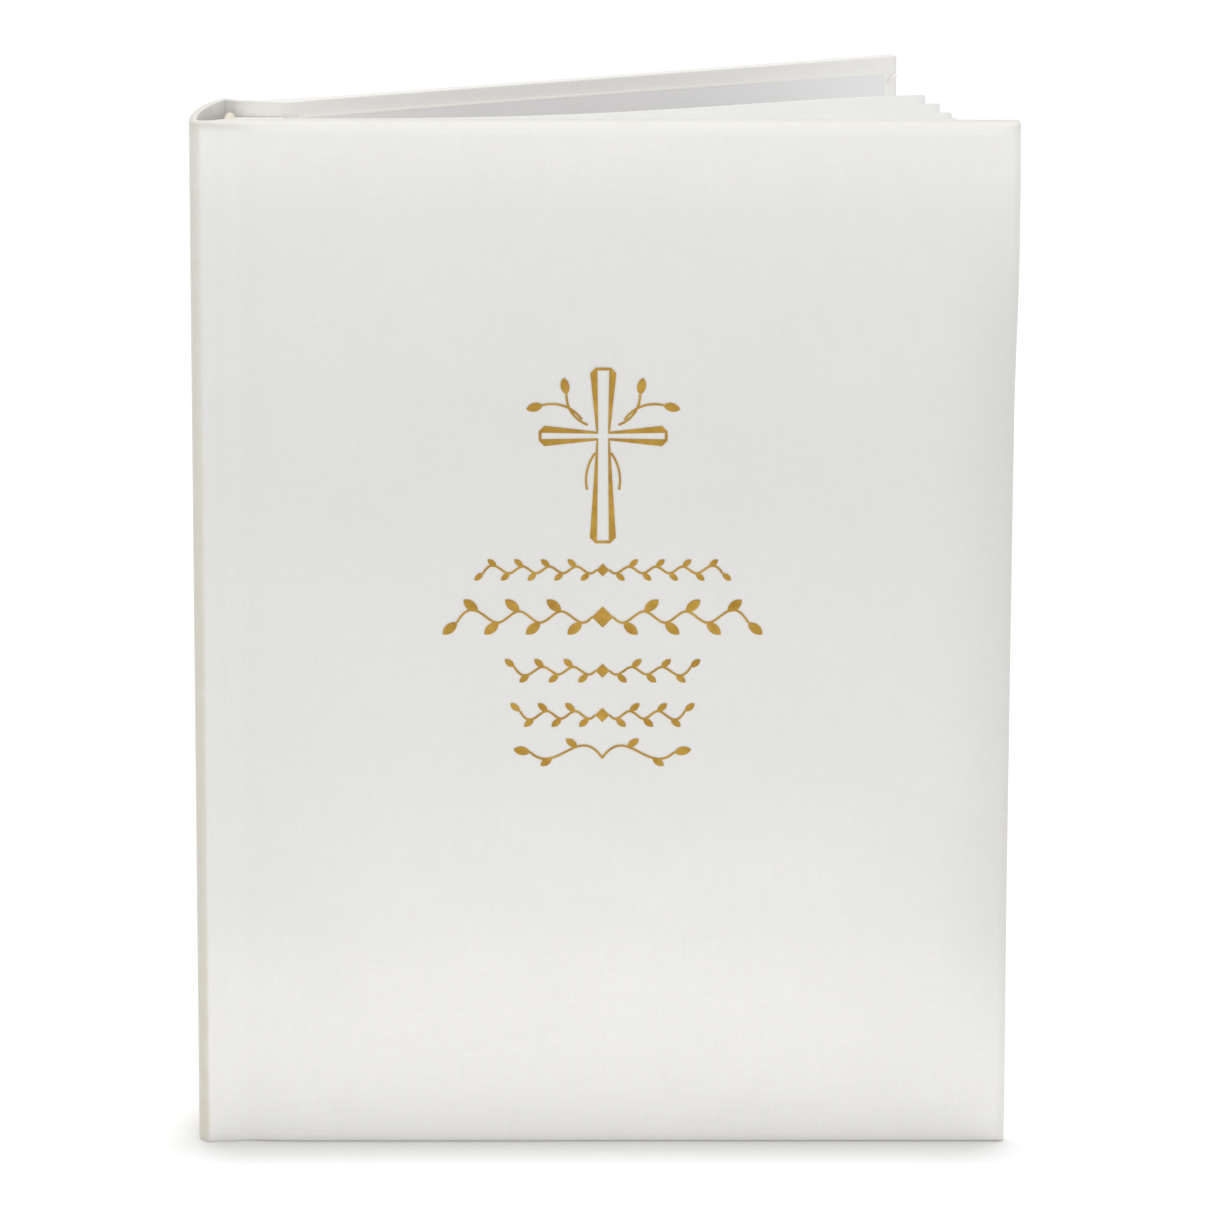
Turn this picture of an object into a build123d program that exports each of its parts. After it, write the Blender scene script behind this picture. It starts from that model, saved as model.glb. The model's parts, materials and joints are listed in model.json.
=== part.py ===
from build123d import *
import math
import os

# Wedding guest book, standing on its tail and slightly open, in millimetres.
# +Z runs up the spine, the front cover faces -Y, the fore-edge points along +X.

os.makedirs("parts", exist_ok=True)

# Overall size
BOOK_HEIGHT = 315.0
BOOK_WIDTH = 247.0
BACK_COVER_TURN = 29.5

# Sheet and board thicknesses
CLOTH = 0.4
BOARD = 3.0
FRONT_PAD = 4.0
BACK_PAD = 1.2
PASTEDOWN = 0.3
LEAF = 0.5
FLYLEAF = 0.3
GUARD = 0.85
MULL = 0.3
LINING = 0.4
SPINE_CARD = 1.5
FOIL = 0.15

# The block of leaves
LEAVES_PER_HALF = 12
GUARD_WIDTH = 18.0
HOLLOW_BACK = 9.0
SQUARE = 5.0
FORE_EDGE_SQUARE = 15.5
COVER_TO_BLOCK = 0.3
CREASE_CLEARANCE = 0.5
HEADBAND_RADIUS = 1.6

# How far each bunch of leaves turns when its cover turns by one degree, from the middle of
# the block outwards, and how much further each leaf turns than the one before it
BUNCH_TURNS = [0.14, 0.21, 0.36, 0.50]
TURN_STEP = 0.002

# Covers
TURN_IN = 15.0
PASTEDOWN_MARGIN = 4.5
INFILL_CLEARANCE = 0.5
FRONT_HINGE_X = 14.5
FRONT_JOINT_GAP = 4.0
BACK_HINGE_X = 27.5
BACK_JOINT_GAP = 4.5
HINGE_CLEARANCE = 0.4

# Spine
SPINE_PROUD = 1.65
SPINE_LEAN = 7.2
SPINE_BULGE = 2.75
SHOULDER_WIDTH = 3.0
FRONT_SHOULDER_RUN = 5.5
BACK_SHOULDER_RUN = 9.0
FOLD_RADIUS = 1.0
CARD_INSET = 5.5

# Foil decoration on the front cover: a cross with sprigs, four vine bands and a flourish.
# Heights are counted from the middle of the cover, and points from the crossing.
CROSSING_RISE = 62.8
# Reach, half width at the neck, half width at the end, direction
CROSS_ARMS = [(20.8, 1.9, 3.9, 90), (32.8, 1.9, 3.9, -90), (19.3, 1.1, 3.1, 0), (19.3, 1.1, 3.1, 180)]
CROSS_CORNER = 1.7
CROSS_LINE = 0.8
CROSS_OPENING_FLARE = 0.15
STEM_WIDTH = 0.65
# Each stem's start, a point on it, its end, and its leaf's direction
SPRIG_STEMS = [
    ((4.6, 3.4), (9.6, 7.4), (11.0, 12.6), 80),
    ((6.4, 5.0), (12.0, 9.2), (18.0, 9.4), -14),
    ((2.4, -5.2), (4.6, -9.8), (4.8, -16.4), None),
]
SPRIG_LEAF = 5.2
BLADE_FULLNESS = 0.25
# Rise of the row's middle, span and height of each band
BAND_ROWS = {1: (21.8, 78.8, 6.5), 2: (7.3, 99.0, 10.8), 3: (-9.3, 60.7, 7.2), 4: (-23.0, 57.4, 7.3)}
# Shares of a band's height
BAND_SWING = 0.16
BAND_PITCH = 0.62
BAND_LEAF = 0.52
BAND_LOZENGE = 0.3
BAND_LEAF_ANGLE = 40
FLOURISH_RISE = -34.6
FLOURISH_SPAN = 53.9
FLOURISH_HEIGHT = 7.0
FLOURISH_SWING = 0.25
# Shares of the flourish's half length where it turns, and its leaves' directions
FLOURISH_CREST = 0.35
FLOURISH_DIP = 0.7
FLOURISH_END_ANGLE = 10
FLOURISH_LEAF_ANGLE = 35
FLOURISH_LEAF = 4.2

# Worked out from the sizes above
half_count = LEAVES_PER_HALF + 1
sheets = [FLYLEAF] + [LEAF] * (2 * LEAVES_PER_HALF) + [FLYLEAF]
block_thickness = sum(sheets) + (len(sheets) + 1) * GUARD
front_thickness = PASTEDOWN + CLOTH + BOARD + FRONT_PAD + CLOTH
back_thickness = PASTEDOWN + CLOTH + BOARD + BACK_PAD + CLOTH
block_front_y = front_thickness + COVER_TO_BLOCK
block_back_y = block_front_y + block_thickness
closed_depth = block_back_y + COVER_TO_BLOCK + back_thickness
leaf_height = BOOK_HEIGHT - 2 * SQUARE
guard_end_x = HOLLOW_BACK + GUARD_WIDTH
crease_x = guard_end_x + CREASE_CLEARANCE
leaf_width = BOOK_WIDTH - FORE_EDGE_SQUARE - crease_x

hinge_out = CLOTH / 2
front_hinge_y = front_thickness - PASTEDOWN - hinge_out
back_hinge_y = closed_depth - back_thickness + PASTEDOWN + hinge_out
front_cover_length = BOOK_WIDTH - FRONT_HINGE_X
back_cover_length = BOOK_WIDTH - BACK_HINGE_X
turn = math.radians(BACK_COVER_TURN)
back_corner = (back_thickness - PASTEDOWN - hinge_out) * math.cos(turn)
depth = back_hinge_y + back_cover_length * math.sin(turn) + back_corner
origin_x = BOOK_WIDTH / 2
origin_y = (depth - FOIL) / 2


def upright(x, y, degrees=0.0):
    """A level plane at a point of the plan, with its own x axis turned about +Z."""
    angle = math.radians(degrees)
    x_dir = (math.cos(angle), math.sin(angle), 0)
    return Plane(origin=(x - origin_x, y - origin_y, 0), x_dir=x_dir, z_dir=(0, 0, 1))


book = upright(0, 0)


def slab(x_span, y_span, z_span, mode=Mode.ADD):
    """A straight-sided block between two values on each axis of the part's own plane."""
    spans = [x_span, y_span, z_span]
    with Locations(tuple((low + high) / 2 for low, high in spans)):
        Box(*[abs(high - low) for low, high in spans], mode=mode)


def finish(part, name):
    part.label = name
    export_step(part, f"parts/{name}.step")


# Covers. Each one is drawn on the plane of its hinge line: x runs along it to the fore-edge,
# and "out" is the distance from the inner face of its turn-ins towards its outside.
front_hinge = upright(FRONT_HINGE_X, front_hinge_y)
back_hinge = upright(BACK_HINGE_X, back_hinge_y, BACK_COVER_TURN)
COVERS = {
    "front": (front_hinge, -1, front_cover_length, FRONT_JOINT_GAP, FRONT_PAD),
    "back": (back_hinge, 1, back_cover_length, BACK_JOINT_GAP, BACK_PAD),
}

for side, (hinge, outward, length, joint_gap, pad) in COVERS.items():
    board_end = length - CLOTH
    inside_heights = (CLOTH, BOOK_HEIGHT - CLOTH)
    board_out = CLOTH + BOARD
    pad_out = board_out + pad

    def out(low, high, outward=outward):
        """Two distances outwards, as distances along the plane's y axis."""
        return outward * (low - hinge_out), outward * (high - hinge_out)

    with BuildPart(hinge) as cover_board:
        slab((joint_gap, board_end), out(CLOTH, board_out), inside_heights)
    finish(cover_board.part, f"{side}_board")

    with BuildPart(hinge) as cover_padding:
        slab((joint_gap, board_end), out(board_out, pad_out), inside_heights)
    finish(cover_padding.part, f"{side}_padding")

    # The cloth wraps the padded board and is turned in on three sides, which leaves a window
    # inside. On the fourth side it runs on along the joint, up to the hinge line.
    with BuildPart(hinge) as cover_cloth:
        slab((joint_gap - CLOTH, length), out(0, pad_out + CLOTH), (0, BOOK_HEIGHT))
        slab((joint_gap, board_end), out(CLOTH, pad_out), inside_heights, Mode.SUBTRACT)
        window = (TURN_IN, BOOK_HEIGHT - TURN_IN)
        slab((joint_gap, length - TURN_IN), out(0, CLOTH), window, Mode.SUBTRACT)
        slab((HINGE_CLEARANCE, joint_gap - CLOTH), out(0, CLOTH), (0, BOOK_HEIGHT))
    finish(cover_cloth.part, f"{side}_cover_cloth")

    with BuildPart(hinge) as infill:
        inset = TURN_IN + INFILL_CLEARANCE
        slab((joint_gap, length - inset), out(0, CLOTH), (inset, BOOK_HEIGHT - inset))
    finish(infill.part, f"{side}_infill")

    with BuildPart(hinge) as pastedown:
        paper = (joint_gap - CLOTH, length - PASTEDOWN_MARGIN)
        slab(paper, out(-PASTEDOWN, 0), (SQUARE, BOOK_HEIGHT - SQUARE))
    finish(pastedown.part, f"{side}_pastedown")

# Spine. Its outside is an arc from the front shoulder back to the other one, and it leans.
lean = math.radians(SPINE_LEAN)
spine_width = (closed_depth + SPINE_PROUD) / math.cos(lean)
spine_radius = (spine_width**2 / 4 + SPINE_BULGE**2) / (2 * SPINE_BULGE)
half_arc = math.asin(spine_width / 2 / spine_radius)
spine_centre = (spine_radius, spine_radius * math.sin(half_arc - lean))
arc_start = 180 + math.degrees(half_arc) - SPINE_LEAN
arc_size = -2 * math.degrees(half_arc)
front_strip_y = block_front_y - MULL - CLOTH
back_strip_y = block_back_y + MULL + CLOTH

with BuildPart() as spine_cloth:
    with BuildSketch(book):
        with BuildLine() as spine_line:
            outside = CenterArc(spine_centre, spine_radius, arc_start, arc_size)
            front_end = outside @ 0
            back_end = outside @ 1
            Polyline(
                (FRONT_HINGE_X - HINGE_CLEARANCE, front_strip_y),
                (front_end.X + FRONT_SHOULDER_RUN, front_strip_y),
                (front_end.X + SHOULDER_WIDTH, front_end.Y),
                (front_end.X, front_end.Y),
            )
            Polyline(
                (back_end.X, back_end.Y),
                (back_end.X + SHOULDER_WIDTH, back_end.Y),
                (back_end.X + BACK_SHOULDER_RUN, back_strip_y),
                (BACK_HINGE_X - HINGE_CLEARANCE, back_strip_y),
            )
            folds = spine_line.vertices().sort_by(Axis.X)[:-2]
            fillet(folds, radius=FOLD_RADIUS)
            offset(amount=CLOTH, side=Side.LEFT)
        make_face()
    extrude(amount=BOOK_HEIGHT)
finish(spine_cloth.part, "spine_cloth")

with BuildPart() as spine_board:
    with BuildSketch(book.offset(CLOTH)):
        card_inset = math.degrees(CARD_INSET / spine_radius)
        with BuildLine() as card_line:
            card_start = arc_start - card_inset
            card_size = arc_size + 2 * card_inset
            card_radius = spine_radius - CLOTH
            card_outside = CenterArc(spine_centre, card_radius, card_start, card_size)
            card_inside = CenterArc(spine_centre, card_radius - SPINE_CARD, card_start, card_size)
            Line(card_outside @ 0, card_inside @ 0)
            Line(card_outside @ 1, card_inside @ 1)
        make_face()
    extrude(amount=BOOK_HEIGHT - 2 * CLOTH)
finish(spine_board.part, "spine_board")

# Linings on the back of the block
lining_heights = (SQUARE + TURN_IN, BOOK_HEIGHT - SQUARE - TURN_IN)
mull_x = HOLLOW_BACK - MULL
mull_front_y = block_front_y - MULL
mull_back_y = block_back_y + MULL

with BuildPart(book) as mull:
    slab((mull_x, HOLLOW_BACK), (mull_front_y, mull_back_y), lining_heights)
    slab((HOLLOW_BACK, FRONT_HINGE_X - HINGE_CLEARANCE), (mull_front_y, block_front_y), lining_heights)
    slab((HOLLOW_BACK, guard_end_x), (block_back_y, mull_back_y), lining_heights)
finish(mull.part, "mull")

with BuildPart(book) as spine_lining:
    slab((mull_x - LINING, mull_x), (block_front_y, block_back_y), lining_heights)
finish(spine_lining.part, "spine_lining")

# Headband and tailband: half-round rolls on the two ends of the block, at its back
bands = {"headband": (BOOK_HEIGHT - SQUARE, 1), "tailband": (SQUARE, -1)}
across_block = Plane(origin=book.origin, x_dir=(1, 0, 0), z_dir=(0, 1, 0)).offset(block_front_y)

for name, (edge_z, away) in bands.items():
    with BuildPart() as roll:
        with BuildSketch(across_block):
            with BuildLine():
                left = (HOLLOW_BACK, -edge_z)
                right = (HOLLOW_BACK + 2 * HEADBAND_RADIUS, -edge_z)
                crown = (HOLLOW_BACK + HEADBAND_RADIUS, -edge_z - away * HEADBAND_RADIUS)
                ThreePointArc(left, crown, right)
                Line(left, right)
            make_face()
        extrude(amount=block_thickness)
    finish(roll.part, name)

# Block: guards and the leaves' bound margins lie between each other at the back,
# and each leaf turns on a crease at their edge
leaf_heights = (SQUARE, BOOK_HEIGHT - SQUARE)
bound = (HOLLOW_BACK, guard_end_x)
sheet_fronts = [block_front_y + GUARD * (i + 1) + sum(sheets[:i]) for i in range(len(sheets))]

with BuildPart(book) as guards:
    slab(bound, (block_front_y, block_front_y + GUARD), leaf_heights)
    for sheet_front, sheet in zip(sheet_fronts, sheets):
        slab(bound, (sheet_front + sheet, sheet_front + sheet + GUARD), leaf_heights)
finish(guards.part, "guards")

with BuildPart(book) as leaf_stubs:
    for sheet_front, sheet in zip(sheet_fronts, sheets):
        slab(bound, (sheet_front, sheet_front + sheet), leaf_heights)
finish(leaf_stubs.part, "leaf_stubs")


def turn_share(place):
    """How far a leaf turns with its cover, by its place from the middle of the block."""
    bunch = place * len(BUNCH_TURNS) // half_count
    return BUNCH_TURNS[bunch] + TURN_STEP * place


# The front half lies flat behind the front cover, and the back half fans out with the back cover
for i, (sheet_front, sheet) in enumerate(zip(sheet_fronts, sheets)):
    leaf_turn = BACK_COVER_TURN * turn_share(i - half_count) if i >= half_count else 0.0
    with BuildPart(upright(crease_x, sheet_front + sheet / 2, leaf_turn)) as leaf:
        slab((0, leaf_width), (-sheet / 2, sheet / 2), leaf_heights)
    if i == 0:
        name = "front_flyleaf"
    elif i == len(sheets) - 1:
        name = "back_flyleaf"
    else:
        name = f"leaf_{i:02d}"
    finish(leaf.part, name)


# Foil, laid on the outside of the front cover. Each sketch stands at the centre of its figure.
def on_front(rise):
    """The plane of the front cover's outside, seen from the front, at a rise above its middle."""
    middle = (0, -origin_y, BOOK_HEIGHT / 2 + rise)
    return Plane(origin=middle, x_dir=(1, 0, 0), z_dir=(0, -1, 0))


with BuildSketch() as unit_blade:
    with BuildLine():
        ThreePointArc((0, 0), (0.42, BLADE_FULLNESS), (1, 0))
        ThreePointArc((0, 0), (0.42, -BLADE_FULLNESS), (1, 0))
    make_face()


def blade(x, y, length, degrees):
    """Adds one pointed leaf to the sketch that is being drawn, from its base at x, y."""
    with Locations((x, y)):
        add(unit_blade.sketch.scale(length), rotation=degrees)


def arm(reach, neck, end, corner, degrees, mode=Mode.ADD):
    """One arm of a cross, from the crossing outwards, which gets wider and has cut corners."""
    right_side = [(0, -neck), (reach - corner, -end), (reach, corner - end)]
    left_side = [(x, -y) for x, y in reversed(right_side)]
    Polygon(*right_side, *left_side, rotation=degrees, align=None, mode=mode)


# The arms' openings keep the neck's width, so their long sides are wedges that thin to the crossing
with BuildPart() as foil_cross:
    with BuildSketch(on_front(CROSSING_RISE)):
        for reach, neck, end, degrees in CROSS_ARMS:
            arm(reach, neck, end, CROSS_CORNER, degrees)
        for reach, neck, end, degrees in CROSS_ARMS:
            opening = neck - CROSS_LINE / 2
            opening_end = opening + CROSS_OPENING_FLARE * (end - neck)
            arm(reach - CROSS_LINE, opening, opening_end, 0, degrees, Mode.SUBTRACT)
    extrude(amount=FOIL)
finish(foil_cross.part, "foil_cross")

with BuildPart() as foil_sprigs:
    with BuildSketch(on_front(CROSSING_RISE)):
        for start, through, end, lean_out in SPRIG_STEMS:
            with BuildLine():
                ThreePointArc(start, through, end)
            trace(line_width=STEM_WIDTH)
            if lean_out is not None:
                blade(*end, SPRIG_LEAF, lean_out)
        mirror(about=Plane.YZ)
    extrude(amount=FOIL)
finish(foil_sprigs.part, "foil_sprigs")

# Each band is a vine: a wave with a leaf at each crest, mirrored about a lozenge in the middle
for row, (rise, span, height) in BAND_ROWS.items():
    with BuildPart() as foil_band:
        with BuildSketch(on_front(rise)):
            swing = height * BAND_SWING
            leaf_length = height * BAND_LEAF
            lozenge = height * BAND_LOZENGE
            crest_count = round((span / 2 - leaf_length) / (height * BAND_PITCH))
            pitch = (span / 2 - leaf_length) / crest_count
            crests = [(pitch * k, swing * (-1) ** k) for k in range(1, crest_count + 1)]
            with BuildLine():
                Spline((lozenge, 0), *crests)
            trace(line_width=STEM_WIDTH)
            for x, y in crests:
                blade(x, y, leaf_length, math.copysign(BAND_LEAF_ANGLE, y))
            mirror(about=Plane.YZ)
            Polygon((-lozenge, 0), (0, -lozenge), (lozenge, 0), (0, lozenge), align=None)
        extrude(amount=FOIL)
    finish(foil_band.part, f"foil_band_{row}")

with BuildPart() as foil_flourish:
    with BuildSketch(on_front(FLOURISH_RISE)):
        half = FLOURISH_SPAN / 2 - SPRIG_LEAF
        swing = FLOURISH_HEIGHT * FLOURISH_SWING
        crest = (half * FLOURISH_CREST, swing)
        dip = (half * FLOURISH_DIP, -swing)
        with BuildLine():
            Spline((0, -swing), crest, dip, (half, 0))
        trace(line_width=STEM_WIDTH)
        blade(half, 0, SPRIG_LEAF, FLOURISH_END_ANGLE)
        blade(*crest, FLOURISH_LEAF, FLOURISH_LEAF_ANGLE)
        blade(*dip, FLOURISH_LEAF, -FLOURISH_LEAF_ANGLE)
        mirror(about=Plane.YZ)
    extrude(amount=FOIL)
finish(foil_flourish.part, "foil_flourish")
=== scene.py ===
import json
import math
import random

import bpy
import numpy as np
from mathutils import Matrix, Vector


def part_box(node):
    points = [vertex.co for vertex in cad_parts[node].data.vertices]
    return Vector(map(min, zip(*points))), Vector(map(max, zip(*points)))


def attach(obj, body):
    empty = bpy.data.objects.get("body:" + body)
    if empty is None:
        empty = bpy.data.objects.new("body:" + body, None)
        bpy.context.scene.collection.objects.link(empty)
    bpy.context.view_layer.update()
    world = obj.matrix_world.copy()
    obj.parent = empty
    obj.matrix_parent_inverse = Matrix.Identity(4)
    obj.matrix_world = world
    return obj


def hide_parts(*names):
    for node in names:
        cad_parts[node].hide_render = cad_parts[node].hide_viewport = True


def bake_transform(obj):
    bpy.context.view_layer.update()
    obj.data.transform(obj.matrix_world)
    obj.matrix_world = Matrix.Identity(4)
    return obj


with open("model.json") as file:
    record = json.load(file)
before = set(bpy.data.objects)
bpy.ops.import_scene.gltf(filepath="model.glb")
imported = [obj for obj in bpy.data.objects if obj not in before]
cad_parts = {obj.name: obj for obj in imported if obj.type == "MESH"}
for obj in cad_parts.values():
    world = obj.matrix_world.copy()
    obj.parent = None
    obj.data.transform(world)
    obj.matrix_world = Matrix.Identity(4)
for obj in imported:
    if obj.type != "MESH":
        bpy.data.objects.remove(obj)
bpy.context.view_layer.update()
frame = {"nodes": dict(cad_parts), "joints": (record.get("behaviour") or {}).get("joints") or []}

nodes = frame["nodes"]
joints = {j["name"]: j for j in frame["joints"]}
random.seed(7)

# ---------------------------------------------------------------------------
# Plan coordinates, in millimetres: x from the outermost line of the spine
# towards the fore-edge, y from the front face towards the back, z up.
# ---------------------------------------------------------------------------
MM = 0.001
FRONT_HINGE_X = 14.5
CLOTH = 0.4
FRONT_FACE_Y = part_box("front_cover_cloth")[0].y / MM
FRONT_HINGE = joints["front_cover_hinge"]["pos_m"]
BACK_HINGE = joints["back_cover_hinge"]["pos_m"]
PLAN_X = FRONT_HINGE[0] / MM - FRONT_HINGE_X
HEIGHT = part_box("front_cover_cloth")[1].z / MM
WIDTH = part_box("front_cover_cloth")[1].x / MM - PLAN_X
FRONT_INNER_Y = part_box("front_cover_cloth")[1].y / MM - FRONT_FACE_Y
BACK_TURN = -math.radians(joints["back_cover_hinge"]["range_deg"][0])
BACK_X = BACK_HINGE[0] / MM - PLAN_X
BACK_Y = BACK_HINGE[1] / MM - FRONT_FACE_Y


def row_point(x, y, z):
    """A plan point as a point of the row frame, in metres."""
    return ((x + PLAN_X) * MM, (y + FRONT_FACE_Y) * MM, z * MM)


# ---------------------------------------------------------------------------
# Materials
# ---------------------------------------------------------------------------
class Graph:
    """A small helper for one material's nodes."""

    def __init__(self, name, roughness, uv=True, **sockets):
        self.material = bpy.data.materials.new(name)
        self.material.use_nodes = True
        self.tree = self.material.node_tree
        self.bsdf = self.tree.nodes["Principled BSDF"]
        self.bsdf.inputs["Roughness"].default_value = roughness
        for socket, value in sockets.items():
            self.bsdf.inputs[socket.replace("_", " ")].default_value = value
        coordinates = self.tree.nodes.new("ShaderNodeTexCoord")
        self.place = coordinates.outputs["UV" if uv else "Object"]

    def node(self, kind, links=(), **values):
        made = self.tree.nodes.new(kind)
        for key, value in values.items():
            setattr(made, key, value)
        for socket, source in dict(links).items():
            if hasattr(source, "is_output"):
                self.tree.links.new(source, made.inputs[socket])
            else:
                made.inputs[socket].default_value = source
        return made

    def scaled(self, scale):
        return self.node("ShaderNodeMapping", {"Vector": self.place, "Scale": scale}).outputs["Vector"]

    def noise(self, scale, detail=3.0, stretch=(1, 1, 1), roughness=0.5):
        vector = self.scaled(stretch)
        return self.node(
            "ShaderNodeTexNoise",
            {"Vector": vector, "Scale": scale, "Detail": detail, "Roughness": roughness},
        ).outputs["Fac"]

    def bands(self, direction, pitch, distortion=0.0):
        """Sine bands, one every pitch metres along an axis."""
        return self.node(
            "ShaderNodeTexWave",
            {
                "Vector": self.place,
                "Scale": 2 * math.pi / (20 * pitch),
                "Distortion": distortion,
                "Detail": 1.0,
                "Detail Scale": 4.0,
            },
            wave_type="BANDS",
            bands_direction=direction,
            wave_profile="SIN",
        ).outputs["Fac"]

    def math(self, operation, a, b):
        return self.node("ShaderNodeMath", {0: a, 1: b}, operation=operation).outputs[0]

    def weighted(self, first, second):
        """The sum of two values, each given with its weight."""
        return self.math("ADD", self.math("MULTIPLY", *first), self.math("MULTIPLY", *second))

    def mix(self, factor, a, b):
        made = self.node("ShaderNodeMix", data_type="RGBA")
        for index, source in ((0, factor), (6, a), (7, b)):
            if hasattr(source, "is_output"):
                self.tree.links.new(source, made.inputs[index])
            else:
                made.inputs[index].default_value = source
        return made.outputs[2]

    def ramp(self, factor, low, high):
        made = self.node("ShaderNodeMapRange", {"Value": factor, "From Min": low, "From Max": high})
        return made.outputs["Result"]

    def colour(self, source):
        self.tree.links.new(source, self.bsdf.inputs["Base Color"])

    def rough(self, source):
        self.tree.links.new(source, self.bsdf.inputs["Roughness"])

    def bump(self, layers):
        """Bump layers as (height, distance in metres, strength)."""
        normal = None
        for height, distance, strength in layers:
            made = self.node("ShaderNodeBump", {"Height": height, "Distance": distance, "Strength": strength})
            if normal is not None:
                self.tree.links.new(normal, made.inputs["Normal"])
            normal = made.outputs["Normal"]
        self.tree.links.new(normal, self.bsdf.inputs["Normal"])


def rgb(r, g, b):
    """An sRGB colour, 0 to 255, as linear RGBA."""
    shares = (r / 255, g / 255, b / 255)
    return (*[c / 12.92 if c <= 0.04045 else ((c + 0.055) / 1.055) ** 2.4 for c in shares], 1.0)


WARP_PITCH = 0.00042
WEFT_PITCH = 0.86 * WARP_PITCH
FOIL_WEFT_PITCH = 0.00036


def satin_cloth(name, light, dark, aged, dull):
    """A fine plain weave with a satin sheen: warp and weft ridges, slubs and a soft mottle.

    The mesh's first attribute turns it to a yellowed colour, in patches, which is partly yellowing and partly
    painted shade; its second attribute turns it to a grey, which is painted shade."""
    g = Graph(name, 0.52, Sheen_Weight=0.35, Sheen_Roughness=0.35, IOR=1.42)
    warp = g.bands("X", WARP_PITCH, 0.6)
    weft = g.bands("Y", WEFT_PITCH, 0.6)
    weave = g.math("MULTIPLY", warp, weft)
    slub = g.noise(900, 2.0, (1, 0.08, 1))
    slub_across = g.noise(900, 2.0, (0.08, 1, 1))
    threads = g.math("ADD", slub, slub_across)
    mottle = g.noise(28, 4.0)
    shade = g.weighted((g.ramp(threads, 0.7, 1.3), 0.42), (g.ramp(mottle, 0.3, 0.7), 0.33))
    shade = g.math("ADD", shade, g.math("MULTIPLY", weave, 0.25))
    # The first attribute mixes in a yellowed colour, partly yellowing and partly painted shade; the second
    # mixes in a grey, which is painted shade.
    age = g.node("ShaderNodeAttribute", attribute_name="age").outputs["Fac"]
    patchy = g.math("MULTIPLY", age, g.math("ADD", 0.55, g.math("MULTIPLY", g.noise(160, 3.0), 0.9)))
    dulled = g.node("ShaderNodeAttribute", attribute_name="dulled").outputs["Fac"]
    ground = g.mix(dulled, g.mix(shade, dark, light), dull)
    g.colour(g.mix(patchy, ground, aged))
    g.rough(g.math("ADD", 0.46, g.math("MULTIPLY", threads, 0.08)))
    g.bump([(weave, 0.00006, 0.7), (threads, 0.00009, 0.6), (mottle, 0.0004, 0.35)])
    return g.material


def paper(name, light, dark, roughness=0.86, uv=True, grain=1400):
    """Uncoated card or paper: short fibres, faint cloudiness and a soft tooth."""
    g = Graph(name, roughness, uv=uv, IOR=1.4)
    fibre = g.noise(grain, 4.0, (1, 0.35, 1), 0.65)
    cloud = g.noise(22, 3.0)
    shade = g.weighted((g.ramp(fibre, 0.3, 0.7), 0.5), (g.ramp(cloud, 0.3, 0.7), 0.5))
    g.colour(g.mix(shade, dark, light))
    g.rough(g.math("ADD", roughness - 0.06, g.math("MULTIPLY", fibre, 0.12)))
    g.bump([(fibre, 0.00003, 0.6), (cloud, 0.0003, 0.15)])
    return g.material


def board(name, light, dark):
    """Grey pulp board: flecks of darker fibre on a mottled ground."""
    g = Graph(name, 0.92, uv=False)
    fleck = g.noise(1100, 5.0, (1, 1, 0.4), 0.7)
    cloud = g.noise(60, 3.0)
    g.colour(g.mix(g.weighted((g.ramp(fleck, 0.35, 0.65), 0.6), (cloud, 0.4)), dark, light))
    g.bump([(fleck, 0.00008, 0.7)])
    return g.material


def foam(name, light, dark):
    """Open-cell foam: small pits all over."""
    g = Graph(name, 0.95, uv=False, Subsurface_Weight=0.05)
    cells = g.node("ShaderNodeTexVoronoi", {"Vector": g.place, "Scale": 1200.0}).outputs["Distance"]
    cloud = g.noise(40, 3.0)
    g.colour(g.mix(g.weighted((cells, 0.6), (cloud, 0.4)), dark, light))
    g.bump([(cells, 0.0003, 0.8)])
    return g.material


def gauze(name, light, dark):
    """Open bookbinder's gauze: a coarse, stiff, sized weave."""
    g = Graph(name, 0.9, uv=False)
    pitch = 0.0011
    up = g.bands("Z", pitch)
    across = g.math("MAXIMUM", g.bands("X", pitch), g.bands("Y", pitch))
    threads = g.math("MAXIMUM", up, across)
    g.colour(g.mix(threads, dark, light))
    g.bump([(threads, 0.00015, 0.8)])
    return g.material


def thread(name, light, dark):
    """Silky headband thread with a fine twist."""
    g = Graph(name, 0.45, Sheen_Weight=0.3)
    twist = g.bands("DIAGONAL", 0.0004)
    along = g.noise(700, 2.0)
    g.colour(g.mix(g.math("MULTIPLY", twist, along), dark, light))
    g.bump([(twist, 0.00006, 0.7)])
    return g.material


def foil(name, light, dark):
    """Hot-stamped gold foil pressed into cloth: the weave telegraphs through, with slight wear."""
    g = Graph(name, 0.36, uv=False, Metallic=0.85)
    warp = g.bands("X", WARP_PITCH, 0.6)
    weft = g.bands("Z", FOIL_WEFT_PITCH, 0.6)
    weave = g.math("MULTIPLY", warp, weft)
    wear = g.noise(260, 4.0)
    g.colour(g.mix(g.weighted((g.ramp(wear, 0.3, 0.7), 0.7), (weave, 0.3)), dark, light))
    g.rough(g.math("ADD", 0.3, g.math("MULTIPLY", wear, 0.25)))
    g.bump([(weave, 0.00005, 0.5), (wear, 0.0001, 0.3)])
    return g.material


# The last two colours: a yellowed colour, partly yellowing and partly painted shade, and a grey that is painted
# shade.
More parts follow.
